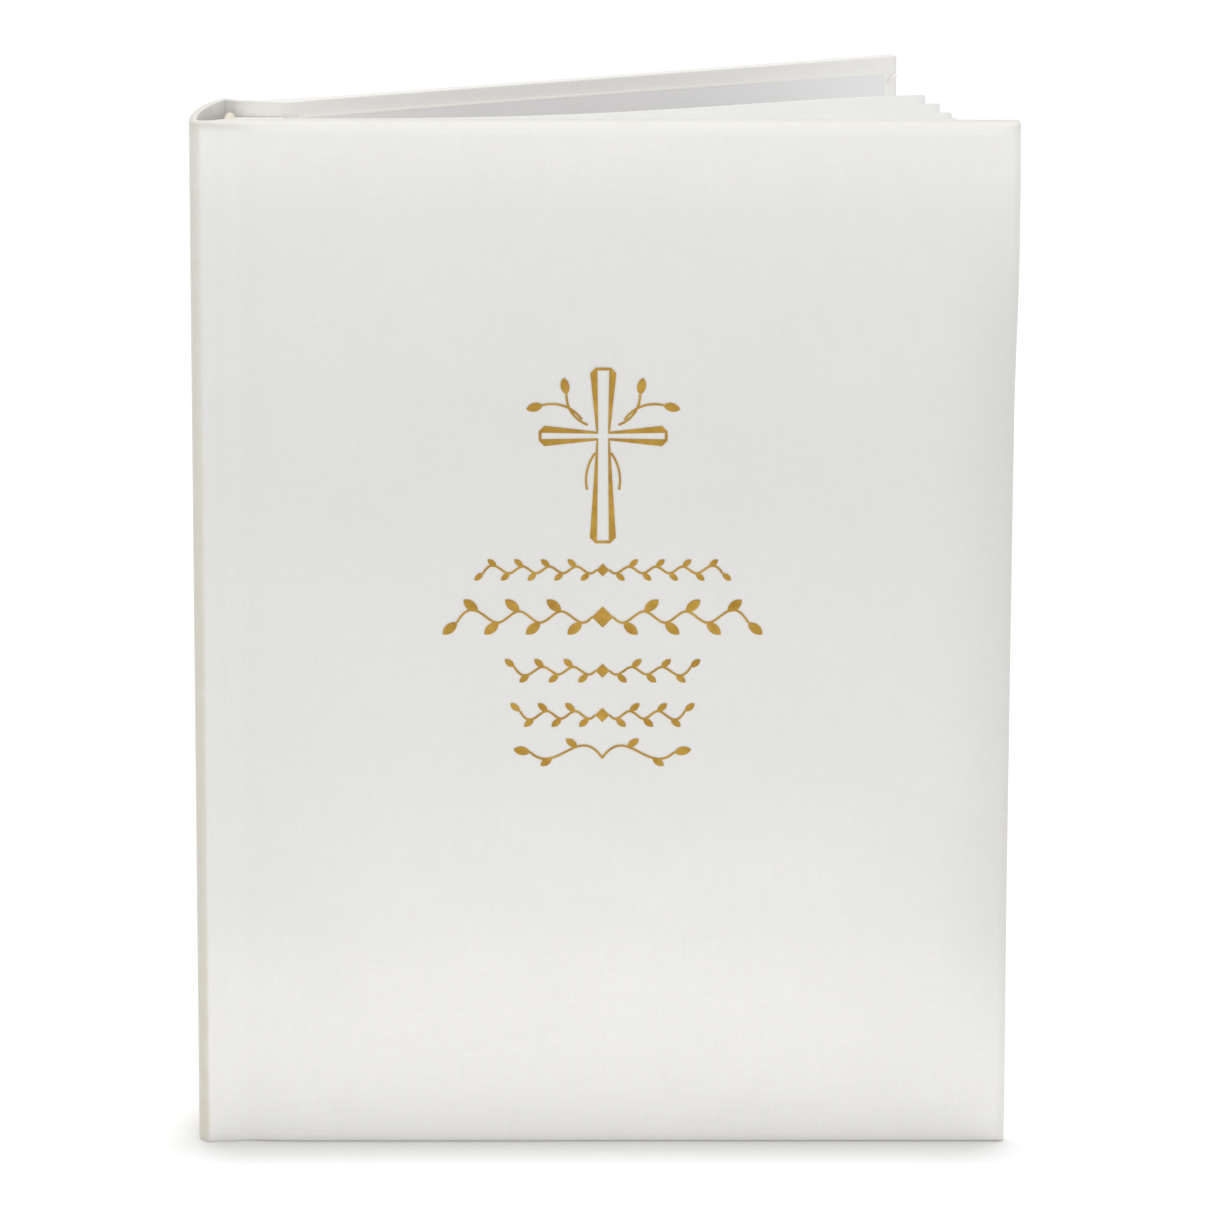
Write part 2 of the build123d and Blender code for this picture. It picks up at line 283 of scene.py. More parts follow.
CLOTH_COLOUR = satin_cloth(
    "cream_satin", rgb(252, 251, 248), rgb(245, 244, 241), rgb(225, 221, 207), rgb(214, 214, 212)
)
LEAF_COLOUR = paper("leaf_card", rgb(238, 238, 236), rgb(231, 231, 229))
LEAF_RIM = paper("leaf_cut_edge", rgb(230, 229, 224), rgb(216, 214, 207))
FLYLEAF_COLOUR = paper("flyleaf_paper", rgb(244, 243, 240), rgb(237, 236, 233))
ENDPAPER = paper("endpaper", rgb(246, 245, 245), rgb(240, 239, 240), uv=False)
INFILL = paper("infill_paper", rgb(226, 222, 212), rgb(216, 212, 200), uv=False)
GUARD = paper("guard_card", rgb(240, 238, 232), rgb(230, 228, 220), uv=False)
KRAFT = paper("kraft_paper", rgb(224, 208, 180), rgb(208, 190, 160), uv=False, grain=900)
GREYBOARD = board("greyboard", rgb(190, 180, 160), rgb(160, 150, 130))
FOAM = foam("foam", rgb(246, 245, 238), rgb(232, 230, 220))
GAUZE = gauze("mull_gauze", rgb(236, 232, 220), rgb(214, 208, 192))
THREAD = thread("band_thread", rgb(244, 240, 228), rgb(222, 214, 194))
FOIL = foil("gold_foil", rgb(204, 166, 80), rgb(166, 126, 48))

# The nodes that aren't named here are guards, foil, or replaced by pieces further down
CAD_MATERIALS = {
    "front_infill": INFILL, "back_infill": INFILL, "front_board": GREYBOARD, "back_board": GREYBOARD,
    "spine_board": KRAFT, "spine_lining": KRAFT, "mull": GAUZE, "leaf_stubs": LEAF_COLOUR,
}
for node_name, node in nodes.items():
    chosen = FOIL if node_name.startswith("foil_") else CAD_MATERIALS.get(node_name, GUARD)
    node.data.materials.clear()
    node.data.materials.append(chosen)


# ---------------------------------------------------------------------------
# Mesh helpers
# ---------------------------------------------------------------------------
def piece(name, verts, faces, material, uvs=None, smooth=True, **attributes):
    """A mesh object from row-frame points in metres, with one UV per vertex."""
    mesh = bpy.data.meshes.new(name)
    mesh.from_pydata([tuple(v) for v in verts], [], faces)
    mesh.validate()
    if uvs is not None:
        layer = mesh.uv_layers.new(name="cloth")
        for loop in mesh.loops:
            layer.data[loop.index].uv = uvs[loop.vertex_index]
    for attribute, values in attributes.items():
        mesh.attributes.new(attribute, "FLOAT", "POINT").data.foreach_set("value", values)
    mesh.materials.append(material)
    for polygon in mesh.polygons:
        polygon.use_smooth = smooth
    made = bpy.data.objects.new(name, mesh)
    bpy.context.scene.collection.objects.link(made)
    return made


def smooth(t):
    """A soft step from 0 to 1."""
    t = max(0.0, min(1.0, t))
    return t * t * (3 - 2 * t)


def through(stations, steps):
    """Catmull-Rom curve through rows of numbers; steps[i] samples between rows i and i + 1."""
    rows = np.array(stations, float)
    padded = np.vstack([2 * rows[0] - rows[1], rows, 2 * rows[-1] - rows[-2]])
    out = []
    for i in range(len(rows) - 1):
        p0, p1, p2, p3 = padded[i : i + 4]
        # Centripetal knots keep the curve from overshooting where spacing changes
        d = [max(np.linalg.norm((b - a)[:2]), 1e-6) ** 0.5 for a, b in ((p0, p1), (p1, p2), (p2, p3))]
        m1 = (p2 - p1) + d[1] * ((p1 - p0) / d[0] - (p2 - p0) / (d[0] + d[1]))
        m2 = (p2 - p1) + d[1] * ((p3 - p2) / d[2] - (p3 - p1) / (d[1] + d[2]))
        for s in range(steps[i]):
            t = s / steps[i]
            out.append(
                (2 * t**3 - 3 * t**2 + 1) * p1 + (t**3 - 2 * t**2 + t) * m1
                + (3 * t**2 - 2 * t**3) * p2 + (t**3 - t**2) * m2
            )
    out.append(rows[-1])
    return np.array(out)


# Distances from an edge at which a cover has lines of vertices
EDGE_LINES = [0, 0.12, 0.35, 0.7, 1.15, 1.7, 2.4, 3.2, 4.2, 5.5, 7.2, 9.4, 12, 15, 18.5, 22.5, 27, 32, 38]
ROW_SPACING = 7.0
CORNER_RADIUS = 1.2
TURN_IN = 15.0
# The cover rests on its tail, which flattens the stuffing there
TAIL_CRISPNESS = 1.5
TAIL_FIRMNESS = 0.3
TAIL_FIRM_TO = 100.0
# How far the crown's fall reaches in from the edges
CROWN_REACH = 26.0
# Shares of the cover's thickness, and how far in from the edge the cloth stands there
SIDE_STEPS = [(0.35, 0.0), (0.68, 0.03), (0.88, 0.16), (0.97, 0.4)]
BACK_INSET = 0.75
THIN_COVER = 4.0
# The inner faces get less of the yellowed colour: painted light on the shaded inside.
INNER_FACE_PAINTED_LIGHT = 0.35

# How much shade is painted into the outer face's cloth at each height, a painted shading gradient: least at the
# foot and under the head, most on the head's roll
PAINTED_SHADE_HEIGHTS = [0, 24, 40, 55, 70, 100, 132, 163, 200, 225, 240, 256, 271, 287, 302, 309, 312, 313.6, 315]
PAINTED_SHADE_SHARES = [
    0, 0, 0.08, 0.15, 0.27, 0.34, 0.38, 0.42, 0.48, 0.48,
    0.44, 0.41, 0.38, 0.33, 0.13, 0.06, 0.14, 0.55, 0.75,
]
# Painted shade: more towards the fore-edge, fading near the head and tail, and less in the lower middle of the
# face.
PAINTED_SHADE_FORE_EDGE = 0.34
PAINTED_SHADE_END_MARGIN = 12.0
PAINTED_SHADE_FADE = 60.0
PAINTED_LIGHT_MIDDLE = 0.11


def dulled(x, ex, z):
    """How much shade is painted into an outer face's cloth at a point: more at the fore-edge, less in the
    middle.
    """
    off_ends = min(z - PAINTED_SHADE_END_MARGIN, HEIGHT - PAINTED_SHADE_END_MARGIN - z)
    fore = PAINTED_SHADE_FORE_EDGE * max(0.0, 1 - ex / CROWN_REACH) ** 1.6 * smooth(off_ends / PAINTED_SHADE_FADE)
    low_band = smooth((130 - z) / 50) * smooth(z / PAINTED_SHADE_FADE)
    middle = PAINTED_LIGHT_MIDDLE * low_band * smooth(ex / 70) * smooth((x - 20) / 60)
    return float(np.interp(z, PAINTED_SHADE_HEIGHTS, PAINTED_SHADE_SHARES)) + fore - middle


def edge_rows(length, middle):
    """Positions from 0 to length, close together near both ends and middle apart between them."""
    last = EDGE_LINES[-1]
    inner = np.linspace(last, length - last, max(2, round((length - 2 * last) / middle)) + 1)
    return np.concatenate([EDGE_LINES[:-1], inner, [length - e for e in EDGE_LINES[:-1]][::-1]])


def depth_at(e, roll, crown):
    """How far the skin lies under its highest level, at a distance e from the edge."""
    long_fall = crown * max(0.0, 1 - e / CROWN_REACH) ** 2
    if e >= roll:
        return long_fall
    return long_fall + roll * (1 - math.sqrt(max(0.0, 1 - (1 - e / roll) ** 2)))


def nearest_edge(ex, ez, power=3.0):
    """A smooth smaller-of-two, lower still in the corner, as stuffing thins there."""
    if ex <= 0 or ez <= 0:
        return 0.0
    return (ex**-power + ez**-power) ** (-1 / power)


def rounded(ex, ez):
    """Rounds the outline's corner."""
    qx, qz = max(CORNER_RADIUS - ex, 0), max(CORNER_RADIUS - ez, 0)
    if qx <= 0 or qz <= 0:
        return ex, ez
    share = max(qx, qz) / math.hypot(qx, qz)
    return CORNER_RADIUS - qx * share, CORNER_RADIUS - qz * share


def covered(name, columns, fore_edge, backed, age, lift=None):
    """Cloth drawn over a cover: outer face, rolled edges and turn-ins.

    columns: rows of (outer x, outer y, inner x, inner y, roll, crown). fore_edge: distance of each column
    from the fore-edge. backed: number of first columns whose inner face shows over the full height.
    age(x, ex, z): how far the cloth turns to its yellowed colour, partly yellowing and partly painted shade.
    lift(x, z): how far the outer face is pushed in.
    """
    outer, inner = columns[:, :2], columns[:, 2:4]
    roll, crown = columns[:, 4], columns[:, 5]
    across = inner - outer
    thickness = np.linalg.norm(across, axis=1)
    normal = across / thickness[:, None]
    tangent = np.gradient(outer, axis=0)
    tangent /= np.linalg.norm(tangent, axis=1)[:, None]
    run = np.concatenate([[0], np.cumsum(np.linalg.norm(np.diff(outer, axis=0), axis=1))])
    rows = edge_rows(HEIGHT, ROW_SPACING)
    last_i, last_k = len(outer) - 1, len(rows) - 1
    last_j = len(SIDE_STEPS) + 1
    index, verts, uvs, ages, painted_shade_values = {}, [], [], [], []

    def vertex(i, j, k):
        """The vertex of column i and row k, on the outer face (j 0), the side or the inner face (last j)."""
        key = (i, j, k)
        if key in index:
            return index[key]
        ez = min(rows[k], HEIGHT - rows[k])
        ex = fore_edge[i]
        lower = rows[k] < HEIGHT / 2
        firm = TAIL_FIRMNESS + (1 - TAIL_FIRMNESS) * smooth(rows[k] / TAIL_FIRM_TO)
        if j == 0:
            e = nearest_edge(ex, ez * (TAIL_CRISPNESS if lower else 1))
            depth = depth_at(e, roll[i] * firm, crown[i] * firm)
            if lift is not None:
                depth += lift(outer[i][0], rows[k])
            ex2, ez2 = rounded(ex, ez)
        else:
            if j < last_j:
                share, inset = SIDE_STEPS[j - 1]
            else:
                share, inset = 1.0, BACK_INSET
            start = (roll[i] + crown[i]) * firm
            depth = start + (thickness[i] - start) * share
            squeeze = min(1.0, thickness[i] / THIN_COVER)
            inset *= squeeze
            ex2, ez2 = ex, ez
            if ex < TURN_IN:
                ex2 = max(ex, 0) * (1 - BACK_INSET / TURN_IN) + inset
            if ez < TURN_IN:
                ez2 = ez * (1 - BACK_INSET * squeeze / TURN_IN) + inset
            if j < last_j:
                ex2 = inset if ex == 0 else ex
                ez2 = inset if ez == 0 else ez
            ex2, ez2 = rounded(ex2, ez2)
        shift = ex - ex2 if ex < 2 * TURN_IN else 0.0
        point = outer[i] + normal[i] * depth + tangent[i] * shift
        z = ez2 if lower else HEIGHT - ez2
        index[key] = len(verts)
        verts.append(row_point(point[0], point[1], z))
        # Inner faces get less of the yellowed colour: painted light on the shaded inside.
        inner_painted_light = INNER_FACE_PAINTED_LIGHT if j == last_j else 0.0
        ages.append(float(np.clip(age(outer[i][0], ex, rows[k]) - inner_painted_light, 0, 1)))
        # Only the outer face gets painted shade.
        painted_shade_values.append(0.0 if j else dulled(outer[i][0], ex, rows[k]))
        beyond = 0.0 if j == 0 else depth + (ez if j == last_j else 0)
        sideways = 0.0 if j == 0 or ez == 0 and ex > 0 else depth
        v = rows[k] - beyond if lower else rows[k] + beyond
        uvs.append(((run[i] + (sideways if ex == 0 else 0)) * MM, v * MM))
        return index[key]

    faces = []

    def quad(a, b, c, d):
        faces.append((vertex(*a), vertex(*b), vertex(*c), vertex(*d)))

    for i in range(last_i):
        for k in range(last_k):
            quad((i, 0, k), (i + 1, 0, k), (i + 1, 0, k + 1), (i, 0, k + 1))
            mid_z = min(rows[k] + rows[k + 1], 2 * HEIGHT - rows[k] - rows[k + 1]) / 2
            mid_x = (fore_edge[i] + fore_edge[i + 1]) / 2
            if mid_z < TURN_IN or mid_x < TURN_IN or i < backed:
                quad((i, last_j, k), (i, last_j, k + 1), (i + 1, last_j, k + 1), (i + 1, last_j, k))
        for j in range(last_j):
            quad((i, j, 0), (i, j + 1, 0), (i + 1, j + 1, 0), (i + 1, j, 0))
            quad((i, j, last_k), (i + 1, j, last_k), (i + 1, j + 1, last_k), (i, j + 1, last_k))
    for k in range(last_k):
        for j in range(last_j):
            quad((last_i, j, k), (last_i, j + 1, k), (last_i, j + 1, k + 1), (last_i, j, k + 1))
    return piece(name, verts, faces, CLOTH_COLOUR, uvs, age=ages, dulled=painted_shade_values)


# ---------------------------------------------------------------------------
# Front cover, front joint and spine: one length of cloth
# ---------------------------------------------------------------------------
# (outer x, outer y, inner x, inner y, roll, crown), round the spine and on to the face
SPINE_STATIONS = [
    (18.4, 46.2, 18.4, 44.75, 0.6, 0), (16.6, 46.5, 16.6, 44.85, 0.6, 0), (15.2, 47.0, 14.9, 45.2, 0.7, 0),
    (13.8, 47.9, 12.8, 46.0, 0.8, 0), (12.4, 49.1, 11.2, 47.2, 0.9, 0), (10.9, 50.3, 10.0, 48.3, 0.9, 0),
    (9.4, 51.1, 9.2, 48.8, 0.9, 0), (8.1, 51.0, 8.9, 48.8, 0.9, 0), (7.1, 50.1, 8.7, 48.5, 0.9, 0),
    (6.35, 48.7, 8.4, 47.7, 0.9, 0), (5.25, 45.8, 7.4, 45.0, 0.9, 0), (3.6, 40.0, 5.8, 39.4, 0.9, 0),
    (1.55, 30.0, 3.8, 29.6, 0.9, 0), (0.37, 20.0, 2.65, 19.8, 0.9, 0), (0.0, 10.6, 2.3, 10.7, 0.9, 0),
    (0.12, 6.6, 2.4, 7.4, 0.9, 0), (0.45, 4.2, 2.7, 5.3, 0.9, 0), (1.15, 2.3, 3.2, 4.0, 0.9, 0),
    (2.2, 1.15, 3.9, 3.4, 0.9, 0), (3.4, 0.65, 4.6, 3.2, 0.9, 0), (4.8, 0.55, 5.5, 3.3, 1.0, 0),
    (7.0, 0.95, 7.4, 4.2, 1.2, 0), (8.7, 0.95, 8.9, 5.8, 1.4, 0), (10.4, 0.75, 10.6, 7.2, 1.6, 0),
    (12.4, 1.25, 12.4, 7.75, 1.9, 0), (14.6, 1.65, 14.6, 7.8, 2.3, 0), (17.0, 1.4, 17.0, 7.8, 2.8, 0.2),
    (20.0, 0.85, 20.0, 7.8, 3.3, 0.5), (24.0, 0.4, 24.0, 7.8, 3.7, 0.8), (29.0, 0.12, 29.0, 7.8, 3.9, 1.0),
    (35.0, 0.0, 35.0, 7.8, 4.0, 1.1), (42.0, 0.0, 42.0, 7.8, 4.0, 1.1),
]
SPINE_STEPS = [1, 2, 2, 2, 2, 2, 2, 2, 2, 2, 2, 3, 4, 4, 3, 3, 3, 3, 3, 3, 3, 2, 2, 2, 3, 3, 3, 3, 3, 3, 2]
spine_side = through(SPINE_STATIONS, SPINE_STEPS)
FACE_START, FACE_ROLL, FACE_CROWN = SPINE_STATIONS[-1][0], SPINE_STATIONS[-1][4], SPINE_STATIONS[-1][5]
FACE_COLUMNS = 26
AWAY_FROM_FORE_EDGE = 200.0
face_x = np.concatenate([
    np.linspace(FACE_START, WIDTH - EDGE_LINES[-1], FACE_COLUMNS)[1:], WIDTH - np.array(EDGE_LINES[:-1][::-1])
])
face_columns = np.array([(x, 0.0, x, FRONT_INNER_Y, FACE_ROLL, FACE_CROWN) for x in face_x])
front_columns = np.vstack([spine_side, face_columns])
front_from_edge = WIDTH - front_columns[:, 0]
front_from_edge[: len(spine_side)] = np.maximum(front_from_edge[: len(spine_side)], AWAY_FROM_FORE_EDGE)
# The joint's cloth shows from inside over the full height, up to this x on the front cover's side
BACKED_TO_X = 21.0
FRONT_SIDE_Y = 3.0
on_front_side = (front_columns[:, 0] > BACKED_TO_X) & (front_columns[:, 1] < FRONT_SIDE_Y)
front_backed = int(np.argmax(on_front_side))


# The stamped emblem's middle and the half size of the ground it flattens
EMBLEM_X, EMBLEM_Z = 123.5, 178.0
EMBLEM_HALF_WIDTH, EMBLEM_HALF_HEIGHT = 62.0, 78.0
STUFFING_LEVEL = 0.14
STUFFING_WAVE = 0.055


def quilted_unevenness(x, z):
    """The stuffing under the face is very slightly uneven, away from the stamped emblem."""
    centre = math.exp(-(((x - EMBLEM_X) / EMBLEM_HALF_WIDTH) ** 4) - ((z - EMBLEM_Z) / EMBLEM_HALF_HEIGHT) ** 4)
    wave = (
        math.sin(x / 17.0 + 0.8 * math.sin(z / 41.0)) * math.sin(z / 23.0 + 1.3)
        + 0.6 * math.sin(x / 9.5 + z / 31.0)
        + 0.8 * math.sin(z / 52.0 - x / 37.0)
    )
    off_spine = max(0.0, min(1.0, (x - 6) / 30))
    return (1 - centre) * off_spine * (STUFFING_LEVEL + STUFFING_WAVE * wave)


# The spine's side and the rolled edges turn towards the yellowed colour: partly yellowing, partly painted
# shade.
SPINE_EDGE_X = 4.0
ROLLED_EDGE = 3.0
ROLLED_EDGE_TINT_AND_SHADE = 0.4


def yellowing_and_painted_shade(x, ex, z):
    """How far the cloth turns to its yellowed colour, partly yellowing and partly painted shade: the spine
    most, less towards its head, and the rolled edges a little.
    """
    spine = smooth((SPINE_EDGE_X - x) / 1.2) * (1.0 - 0.4 * smooth((z - 150) / 150))
    edge = ROLLED_EDGE_TINT_AND_SHADE * smooth(1 - min(ex, z, HEIGHT - z) / ROLLED_EDGE)
    return max(spine, edge)


CORNER_WARP = 0.85


def corner_warp(x, z):
    """How far the head corner at the fore-edge has flared outwards."""
    return CORNER_WARP * (smooth((x - 190) / 50) * smooth((z - 225) / 50) * (1 - 0.3 * smooth((z - 290) / 25)))


front_cloth = covered(
    "front_and_spine_cloth", front_columns, front_from_edge, front_backed, yellowing_and_painted_shade, lift=quilted_unevenness
)
for vertex in front_cloth.data.vertices:
    vertex.co.x += corner_warp(vertex.co.x / MM - PLAN_X, vertex.co.z / MM) * MM
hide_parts("front_cover_cloth", "spine_cloth")
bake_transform(front_cloth)


# ---------------------------------------------------------------------------
# Back cover and back joint
# ---------------------------------------------------------------------------
def back_point(u, w):
    """A plan point u along the back cover from its hinge and w outwards."""
    c, s = math.cos(BACK_TURN), math.sin(BACK_TURN)
    return BACK_X + u * c - w * s, BACK_Y + u * s + w * c


BACK_OUTER_W = 4.8
BACK_INNER_W = -0.2
BACK_LENGTH = WIDTH - BACK_X
BACK_ROLL = 2.2
BACK_CROWN = 0.4
BACK_FACE_START = 22.0
BACK_STATIONS = [
    (14.8, 47.3, 14.9, 45.3, 0.8, 0), (16.2, 46.78, 16.2, 44.95, 0.8, 0), (18.0, 46.7, 18.0, 44.75, 0.9, 0),
    (20.2, 47.0, 20.2, 44.65, 1.0, 0), (22.8, 47.95, 22.8, 44.6, 1.2, 0), (26.0, 49.6, 27.0, 44.75, 1.4, 0),
    (29.6, 51.6, *back_point(4.6, BACK_INNER_W), 1.7, 0.1),
    (*back_point(10.0, BACK_OUTER_W), *back_point(10.0, BACK_INNER_W), 2.0, 0.25),
    (
        *back_point(BACK_FACE_START, BACK_OUTER_W), *back_point(BACK_FACE_START, BACK_INNER_W),
        BACK_ROLL, BACK_CROWN,
    ),
]
back_side = through(BACK_STATIONS, [2, 2, 2, 3, 3, 3, 3, 4])
back_u = np.concatenate([
    np.linspace(BACK_FACE_START, BACK_LENGTH - EDGE_LINES[-1], FACE_COLUMNS)[1:],
    BACK_LENGTH - np.array(EDGE_LINES[:-1][::-1]),
])
back_face = [
    (*back_point(u, BACK_OUTER_W), *back_point(u, BACK_INNER_W), BACK_ROLL, BACK_CROWN) for u in back_u
]
back_columns = np.vstack([back_side, back_face])
back_from_edge = np.concatenate([np.full(len(back_side), AWAY_FROM_FORE_EDGE), BACK_LENGTH - back_u])
back_backed = len(back_side) - 3
back_cloth = covered("back_cover_wrap", back_columns, back_from_edge, back_backed, yellowing_and_painted_shade)
for polygon in back_cloth.data.polygons:
    polygon.flip()
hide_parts("back_cover_cloth")
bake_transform(back_cloth)


# ---------------------------------------------------------------------------
# Mitred corners: a ridge of folded cloth inside each fore-edge corner
# ---------------------------------------------------------------------------
# Distances from the fore-edge and from the head or tail
FOLD_PATH = [(0.5, 6.4), (2.6, 7.2), (5.2, 10.8)]
FOLD_RIDGE = 0.75
FOLD_BEDDING = 0.05
FOLD_RINGS = 14
FOLD_AROUND = 7


def cloth_fold(name, body, place, head, mirrored):
    """The ridge of doubled cloth at a mitred corner: a half-round roll, thinner away from the fore-edge.

    place(ex, rise) gives the plan point ex from the fore-edge, rise above the inner face."""
    rings, around, verts, uvs, faces = FOLD_RINGS, FOLD_AROUND, [], [], []
    start, knee, end = (np.array(point) for point in FOLD_PATH)
    for i in range(rings + 1):
        t = i / rings
        centre = (1 - t) ** 2 * start + 2 * t * (1 - t) * knee + t**2 * end
        along = (1 - t) * (knee - start) + t * (end - knee)
        side = np.array((-along[1], along[0])) / np.linalg.norm(along)
        radius = FOLD_RIDGE * (1 - 0.85 * smooth((t - 0.45) / 0.55))
        for n in range(around):
            turn = math.pi * n / (around - 1)
            ex, ez = centre + side * radius * math.cos(turn)
            x, y = place(ex, radius * math.sin(turn) - FOLD_BEDDING)
            verts.append(row_point(x, y, HEIGHT - ez if head else ez))
            uvs.append(((ex + ez) * MM, (ez - ex) * MM))
    for i in range(rings):
        for n in range(around):
            a, b = i * around + n, i * around + (n + 1) % around
            faces.append((a, b, b + around, a + around))
    faces += [tuple(range(around - 1, -1, -1)), tuple(range(rings * around, (rings + 1) * around))]
    if head == mirrored:
        faces = [face[::-1] for face in faces]
    made = piece(name, verts, faces, CLOTH_COLOUR, uvs)
    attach(made, body)


def inside_front(ex, rise):
    return WIDTH - ex, FRONT_INNER_Y + rise


def inside_back(ex, rise):
    return back_point(BACK_LENGTH - ex, BACK_INNER_W - rise)


for end, at_head in (("head", True), ("tail", False)):
    cloth_fold("front_mitre_" + end, "front_cover", inside_front, at_head, mirrored=True)
    cloth_fold("back_mitre_" + end, "back_cover", inside_back, at_head, mirrored=False)


# ---------------------------------------------------------------------------
# Pastedowns: the paper's cut edge stands up a little from the turn-ins, and the rim's lighter paper is a
# painted highlight
# ---------------------------------------------------------------------------
# Lighter paper for the cut edge: a painted highlight where the edge catches light.
ENDPAPER_RIM_HIGHLIGHT = paper("endpaper_rim_painted_highlight", rgb(254, 253, 247), rgb(249, 248, 240))
LIP = 0.12
LIP_WIDTH = 0.5
PASTEDOWN_LINES = 25


def endpaper(side, origin, turn, outward):
    """A pastedown, measured on its cover's own axes: u along it, w outwards, from a plan point."""
    c, s = math.cos(turn), math.sin(turn)
    corner = np.array((PLAN_X + origin[0], FRONT_FACE_Y + origin[1], 0))
    offsets = [np.array(v.co) / MM - corner for v in nodes[side + "_pastedown"].data.vertices]
    local = np.array([(dx * c + dy * s, outward * (dy * c - dx * s), z) for dx, dy, z in offsets])
    low, high = local.min(0), local.max(0)

    def lines(a, b):
        inner = np.linspace(a + 2 * LIP_WIDTH, b - 2 * LIP_WIDTH, PASTEDOWN_LINES)
        return [a, a + LIP_WIDTH, *inner, b - LIP_WIDTH, b]

    us, zs = lines(low[0], high[0]), lines(low[2], high[2])
    last_i, last_k, n = len(us) - 1, len(zs) - 1, len(zs)
    verts, uvs = [], []
    for hidden in (False, True):
        for i, u in enumerate(us):
            for k, z in enumerate(zs):
                lipped = min(i, last_i - i) < 2 or min(k, last_k - k) < 2
                w = high[1] if hidden else low[1] - LIP * lipped
                x, y = origin[0] + u * c - outward * w * s, origin[1] + u * s + outward * w * c
                verts.append(row_point(x, y, z))
                uvs.append((u * MM, z * MM))
    back, faces, rims = len(us) * n, [], []
    for i in range(last_i):
        for k in range(last_k):
            a, b = i * n + k, (i + 1) * n + k
            faces += [(a, a + 1, b + 1, b), (back + b, back + b + 1, back + a + 1, back + a)]
            rims += [min(i, last_i - 1 - i) == 0 or min(k, last_k - 1 - k) == 0, False]
    for k in range(last_k):
        for a, b in ((k, k + 1), (last_i * n + k + 1, last_i * n + k)):
            faces.append((a, back + a, back + b, b))
            rims.append(True)
    for i in range(last_i):
        for a, b in ((i * n, (i + 1) * n), ((i + 1) * n + last_k, i * n + last_k)):
            faces.append((a, b, back + b, back + a))
            rims.append(True)
    if outward > 0:
        faces = [face[::-1] for face in faces]
    made = piece(side + "_endpaper", verts, faces, ENDPAPER, uvs, smooth=False)
    # The rim faces get the lighter paper: a painted highlight.
    made.data.materials.append(ENDPAPER_RIM_HIGHLIGHT)
    for polygon, on_rim in zip(made.data.polygons, rims):
        polygon.material_index = int(on_rim)
    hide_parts(side + "_pastedown")
    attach(made, side + "_cover")


endpaper("front", (0.0, 0.0), 0.0, -1)
endpaper("back", (BACK_X, BACK_Y), BACK_TURN, 1)


# ---------------------------------------------------------------------------
# Padding under the cloth
# ---------------------------------------------------------------------------
PAD_SPACING = 9.0
PAD_THINNEST = 0.3


def pad(name, node, body, place, length, level, thickness, crown, roll, mirrored=False):
    """A crowned sheet of foam on the board. place(u, depth) gives its plan point."""
    us, rows = edge_rows(length, PAD_SPACING), edge_rows(HEIGHT - 2 * CLOTH, PAD_SPACING)
    verts, faces, side = [], [], len(us) * len(rows)
    for top in (True, False):
        for u in us:
            for z in rows:
                ex, ez = min(u, length - u), min(z, HEIGHT - 2 * CLOTH - z)
                fall = min(depth_at(nearest_edge(ex, ez), roll, crown), thickness - PAD_THINNEST)
                x, y = place(u, level + (fall if top else thickness))
                verts.append(row_point(x, y, z + CLOTH))
    n = len(rows)
    for i in range(len(us) - 1):
        for k in range(n - 1):
            a, b, c, d = i * n + k, (i + 1) * n + k, (i + 1) * n + k + 1, i * n + k + 1
            faces.append((a, b, c, d))
            faces.append((side + d, side + c, side + b, side + a))
    for i in range(len(us) - 1):
        a, b = i * n, (i + 1) * n
        faces.append((a, side + a, side + b, b))
        faces.append((b + n - 1, side + b + n - 1, side + a + n - 1, a + n - 1))
    for k in range(n - 1):
        a, b = k, k + 1
        faces.append((b, side + b, side + a, a))
        far = (len(us) - 1) * n
        faces.append((far + a, side + far + a, side + far + b, far + b))
    if mirrored:
        faces = [face[::-1] for face in faces]
    made = piece(name, verts, faces, FOAM)
    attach(made, body)
    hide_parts(node)


# Where each pad starts, counted from the hinge side, and how far it stops short of the fore-edge
FRONT_PAD_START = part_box("front_padding")[0].x / MM - PLAN_X + 3.5
FRONT_PAD_END_GAP = 0.9
BACK_PAD_START = 6.5
BACK_PAD_END_GAP = 0.8


def on_front_board(u, depth):
    return FRONT_PAD_START + u, depth


def on_back_board(u, depth):
    return back_point(BACK_PAD_START + u, BACK_OUTER_W - depth)


pad(
    "front_cover_pad", "front_padding", "front_cover", on_front_board,
    length=WIDTH - FRONT_PAD_END_GAP - FRONT_PAD_START, level=0.75, thickness=3.55, crown=1.1, roll=3.2,
)
pad(
    "back_cover_pad", "back_padding", "back_cover", on_back_board,
    length=BACK_LENGTH - BACK_PAD_END_GAP - BACK_PAD_START, level=0.5, thickness=1.05, crown=0.3, roll=0.9,
    mirrored=True,
)


# ---------------------------------------------------------------------------
# Leaves
# ---------------------------------------------------------------------------
BEND_LENGTH = 195.0
LEAF_COLUMNS = 44
LEAF_ROWS = 10
WAVE_LENGTH = 60.0
WAVE_START = 120.0
# Faces smaller than this, in square metres, are on a leaf's cut edge
RIM_AREA = 8e-6


def bend_weight(s, angle):
    """The share of a leaf's turn at s along it: each round corrects it for where that turn puts the point."""
    weight = smooth(s / BEND_LENGTH)
    for _ in range(12):
        weight = smooth(s * math.cos(weight * angle - angle) / BEND_LENGTH)
    return weight


